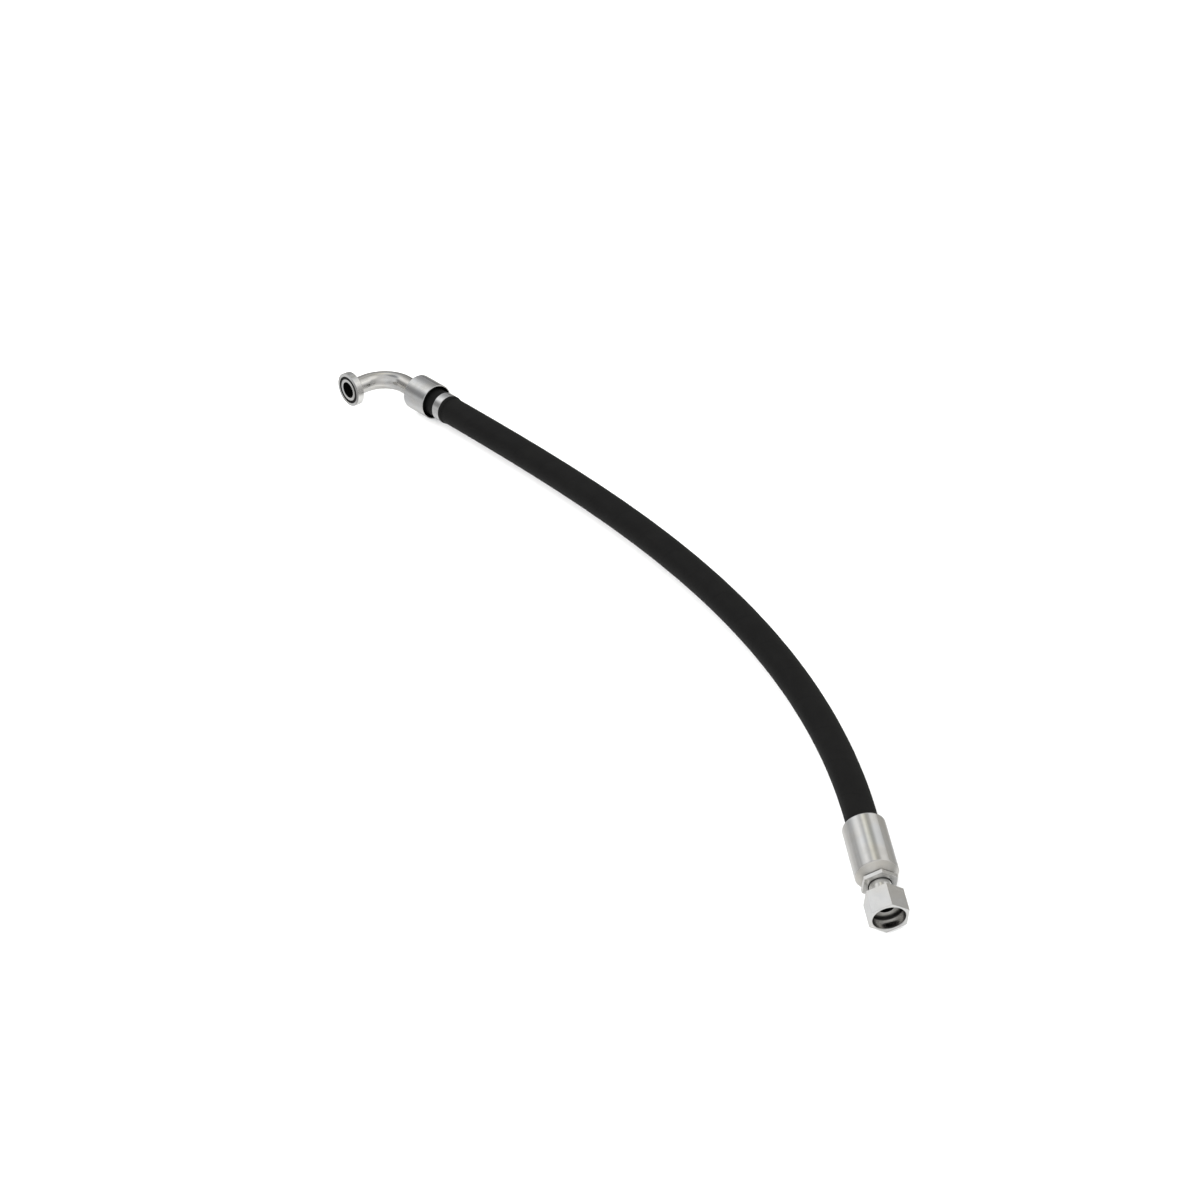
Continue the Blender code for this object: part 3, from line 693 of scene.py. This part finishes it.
for k in range(JOINTS):
    start, end = seams[k], seams[k + 1]
    count = max(8, round((end - start) / RING_PITCH))
    stops = [start + (end - start) * i / count for i in range(count + 1)]
    if k:
        stops = [start - TONGUE, start - TONGUE / 2] + stops
    rings = []
    for outside, order in ((True, stops), (False, stops[::-1])):
        for s in order:
            tuck = TUCK * max(0.0, min(1.0, 1 - (s - start) / TONGUE)) if k else 0.0
            rings.append(hose_ring(s, outside, tuck))
    piece = loft(f"hose_part_{k + 1}", rings, cover, sharp=60)
    # the last piece stands in for the last two sections
    done = (k + 1, k + 2) if k == JOINTS - 1 else (k + 1,)
    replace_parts(piece, *[f"hose_{layer}_{n}" for layer in ("cover", "wire", "tube") for n in done])
    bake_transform(piece)

# ---- nut end --------------------------------------------------------------------------------------------------------
FERRULE_B = [
    *mm((0, 16.4, 0.3), (0, 21.4, 2.2), (60.0, 21.4, 1.2), (68.2, 15.0, 0.5), (68.2, 13.6),
        (62.5, 13.6), (62.5, 12.5), (58.5, 12.5), (58.5, 13.6), (51.0, 13.6), (51.0, 16.4)),
    *reversed(teeth(5.0 * MM, 51.0 * MM, 6))]
ferrule_b = turned("ferrule_b_body", filleted(FERRULE_B, 6), at_end, swaged, 192,
                   bore_material=cone_steel)
repaint(ferrule_b, at_end, 1, lambda x, r: x > 60.6 * MM and r > 13.7 * MM)
fasten(ferrule_b, "ferrule_b", "nut_end")

BARB_PITCH = 7.6
barbs = [p for i in range(5) for p in ((9.4 + BARB_PITCH * i, 8.6), (16.2 + BARB_PITCH * i, 9.2))]
INSERT = [
    *hex_side(68.8 * MM, 73.3 * MM, INSERT_FLATS / 2, edge=0.35 * MM),
    *circles(
        (73.3, 11.9), (73.3, 11.6), (73.2, 11.4), (72.9, 11.35), (70.3, 11.35), (70.2, 11.2),
        (70.2, 7.4), (70.1, 7.3), (7.5, 7.3), (7.5, 8.2), (9.0, 8.6), *barbs,
        (51.4, 9.2), (51.4, 13.3), (58.2, 13.3), (58.2, 12.2), (62.8, 12.2), (62.8, 13.3),
        (68.8, 13.3))]
insert = hexed("insert_b_body", INSERT, at_end, plated_nut, bore_material=painted_bore_shade, bore=7.32 * MM)
fasten(insert, "insert_b", "nut_end")

STEM = mm(
    (70.5, 7.3), (70.5, 10.9), (94.2, 10.9, 0.3), (94.2, 15.4, 0.3), (SOCKET_FLOOR, 15.4, 1.7),
    (SOCKET_FLOOR, 8.4, 0.5), (97.0, 7.3))
stem = turned("union_stem_body", filleted(STEM), at_end, plated, bore_material=painted_bore_shade,
              bore=8.42 * MM)
stem.data.materials.append(nut_inside)
# the seat inside the nut takes the nut's inside steel and its painted shade
repaint(stem, at_end, 2, lambda x, r: x > 95 * MM and r > 8.3 * MM)
fasten(stem, "union_stem", "nut_end")

NUT = [
    *hex_side(NUT_BACK, NUT_FRONT, NUT_FLATS / 2, edge=0.2 * MM),
    *circles(
        (0, 16.6), (0, 16.4), (-0.06, 16.25), (-0.5, 15.95), (-0.8, 15.82), (-1.1, 15.8),
        (-10.8, 15.8), (-11.2, 15.83), (-11.5, 16.0), (-11.9, 16.4), (-12.2, 16.57),
        (-12.6, 16.6), (-15.0, 16.6), (-15.4, 16.45), (-15.7, 15.8), start=NUT_FRONT),
    *circles(
        (4.4, 15.8), (4.2, 15.6), (4.2, 11.5), (4.1, 11.3), (0.4, 11.3), (0.1, 11.4),
        (0, 11.7), (0, 11.9), start=NUT_BACK)]
nut = hexed("swivel_nut_body", NUT, at_end, plated_nut, bore_material=nut_inside, bore=16.62 * MM)
repaint(nut, at_end, 0, lambda x, r: x > NUT_FRONT - 0.85 * MM)
fasten(nut, "swivel_nut", "nut")


# ---- CAD pieces that stay -------------------------------------------------------------------------------------------
def dress(node, at, material):
    """Gives a CAD node its material. Its own coordinates stand in for the place on the piece."""
    mesh = frame["nodes"][node].data
    attribute = mesh.attributes.get("lc") or mesh.attributes.new("lc", "FLOAT_VECTOR", "POINT")
    inverse = at.inverted()
    for vert, item in zip(mesh.vertices, attribute.data):
        item.vector = inverse @ vert.co
    mesh.materials.clear()
    mesh.materials.append(material)


dress("nipple_a", at_start, hidden_steel)
dress("thrust_ring", at_end, bronze)


# ---- floor ----------------------------------------------------------------------------------------------------------
def floor_look():
    look = new_look("pale_floor")
    surface = look.node("ShaderNodeNewGeometry").outputs
    pale = look.mix(look.noise(surface["Position"], scale=3.0), (0.93, 0.93, 0.925), (0.945,) * 3)
    # painted reflection: what a mirror shows of the floor is the studio's grey away from its lit middle, darker towards
    # +Y
    x, y, z = look.parts(surface["Incoming"])
    towards_y = look.span(look.times(y, -1.0), lo=-0.1, hi=0.75)
    low_view = look.mix(towards_y, (0.276, 0.276, 0.276), (0.196, 0.192, 0.182))
    steep = look.math("SUBTRACT", z, look.times(towards_y, 0.3))
    high_view = look.mix(look.span(x, lo=-0.3, hi=0.6), (0.576, 0.576, 0.572), (0.46, 0.46, 0.46))
    high_view = look.mix(look.times(look.span(y, lo=0.0, hi=0.45), look.span(z, lo=0.55, hi=0.8)),
                         high_view, (0.43, 0.43, 0.427))
    mirrored = look.mix(look.span(steep, lo=0.16, hi=0.74), low_view, high_view)
    # a painted dark reflection low down at the far side
    far_dark_reflection = look.times(look.span(x, lo=0.5, hi=0.63),
                         look.span(look.times(y, -1.0), lo=0.55, hi=0.72))
    far_dark_reflection = look.times(far_dark_reflection, look.span(z, lo=0.42, hi=0.25))
    mirrored = look.mix(far_dark_reflection, mirrored, (0.07, 0.07, 0.07))
    return look.finish(Base_Color=look.mix(look.glossy(), pale, mirrored), Roughness=0.9,
                       Specular_IOR_Level=0.0)


FLOOR_Z = -0.4 * MM
REACH = range(-14, 15)   # grid lines, one metre apart
bm = bmesh.new()
grid = [[bm.verts.new((x, y, FLOOR_Z)) for x in REACH] for y in REACH]
for row, after in zip(grid, grid[1:]):
    for j in range(len(row) - 1):
        bm.faces.new((row[j], row[j + 1], after[j + 1], after[j]))
mesh = bpy.data.meshes.new("floor")
bm.to_mesh(mesh)
bm.free()
floor = bpy.data.objects.new("floor", mesh)
bpy.context.scene.collection.objects.link(floor)
mesh.materials.append(floor_look())

# ---- studio ---------------------------------------------------------------------------------------------------------
PLAIN_STRENGTH = 2.0   # what lights the floor and what the camera sees past it
DARKEST = (0.04, 0.04, 0.04)
# What metal mirrors: a grey studio with soft white panels and dark gaps.
# (direction, inner angle, outer angle, change of brightness, tint)
PANELS = (
    ((-0.77, 0.03, 0.64), 5, 23, 0.29, (1, 1, 1)),
    ((-0.71, -0.40, 0.58), 3, 25, -0.33, (1, 1, 1)),
    ((-0.95, -0.29, 0.12), 3, 16, -0.08, (1, 1, 1)),
    ((-0.40, 0.50, 0.77), 2, 12, 0.24, (1.01, 0.955, 0.68)),
    ((-0.29, 0.69, 0.67), 2, 15, -0.19, (0.98, 1, 1.14)),
    ((-0.71, 0.68, 0.18), 7, 28, -0.20, (1, 1, 1)),
    ((-0.12, 0.94, 0.32), 5, 22, 0.20, (1, 0.985, 0.95)),
    ((0.55, -0.55, 0.63), 8, 30, 0.10, (1, 1, 1)),
    ((0.15, -0.93, 0.33), 6, 26, -0.09, (1, 1, 1)),
    ((0.93, 0.25, 0.28), 6, 26, -0.12, (1, 1, 1)),
    ((0.62, 0.70, 0.35), 4, 18, 0.33, (1, 1, 0.97)),
    ((0.40, 0.58, 0.71), 6, 27, 0.29, (1, 0.98, 0.92)),
    ((-0.35, -0.75, 0.56), 3, 16, 0.09, (1, 1, 1)),
    ((-0.34, -0.92, 0.22), 3, 17, -0.13, (1, 1, 1)),
    ((-0.38, 0.10, 0.92), 4, 20, -0.34, (1, 0.98, 0.95)),
)

world = bpy.data.worlds.new("studio")
bpy.context.scene.world = world
studio = Nodes(world)


def vector_math(operation, inputs):
    return studio.node("ShaderNodeVectorMath", inputs, operation=operation).outputs


direction = studio.node("ShaderNodeTexCoord").outputs["Generated"]
grey = studio.span(studio.parts(direction)[2], lo=-0.1, hi=0.9, to_lo=0.5, to_hi=0.6)
total = studio.node("ShaderNodeCombineXYZ", {0: grey, 1: grey, 2: grey}).outputs[0]
for centre, inner, outer, change, tint in PANELS:
    cosine = vector_math("DOT_PRODUCT", {0: direction, 1: Vector(centre).normalized()})["Value"]
    mask = studio.span(cosine, lo=math.cos(math.radians(outer)), hi=math.cos(math.radians(inner)))
    panel = vector_math("SCALE", {0: tuple(change * t for t in tint), "Scale": mask})["Vector"]
    total = vector_math("ADD", {0: total, 1: panel})["Vector"]
total = vector_math("MAXIMUM", {0: total, 1: DARKEST})["Vector"]
plain = studio.node("ShaderNodeBackground", {"Color": (1, 1, 1, 1), "Strength": PLAIN_STRENGTH})
seen = studio.node("ShaderNodeBackground", {"Color": total, "Strength": 1.0})
both = studio.node("ShaderNodeMixShader",
                   {0: studio.glossy(), 1: plain.outputs[0], 2: seen.outputs[0]})
studio.node("ShaderNodeOutputWorld", {"Surface": both.outputs[0]})


def area(name, position, power):
    """A square light aimed at the origin. The panels stand for it in metal, so it isn't mirrored itself."""
    data = bpy.data.lights.new(name, "AREA")
    data.shape = "RECTANGLE"
    data.size = data.size_y = 2.2
    data.energy = power
    light = bpy.data.objects.new(name, data)
    bpy.context.scene.collection.objects.link(light)
    light.location = position
    light.rotation_euler = (-Vector(position)).to_track_quat("-Z", "Y").to_euler()
    light.visible_glossy = False


area("key", position=(-1.2, -1.4, 2.6), power=12)
area("fill", position=(2.4, 1.6, 2.2), power=8)

# ---- camera ---------------------------------------------------------------------------------------------------------
VIEW_RIGHT = Vector((0.6515, 0.7012, -0.2897))
VIEW_FORWARD = Vector((-0.644, 0.3093, -0.6997))
CAMERA_FROM_HOSE_START = Vector((2.24384, -0.98656, 1.98879))

camera_data = bpy.data.cameras.new("camera")
camera_data.sensor_width = 36.0
camera_data.lens = 79.4472
camera_data.clip_start, camera_data.clip_end = 0.05, 60
camera = bpy.data.objects.new("camera", camera_data)
bpy.context.scene.collection.objects.link(camera)
back = -VIEW_FORWARD.normalized()
right = (VIEW_RIGHT - back * VIEW_RIGHT.dot(back)).normalized()
camera.matrix_world = axes_at(hose_start + CAMERA_FROM_HOSE_START, right, back.cross(right), back)
bpy.context.scene.camera = camera
bpy.context.scene.view_settings.view_transform = "Standard"

bpy.context.view_layer.update()
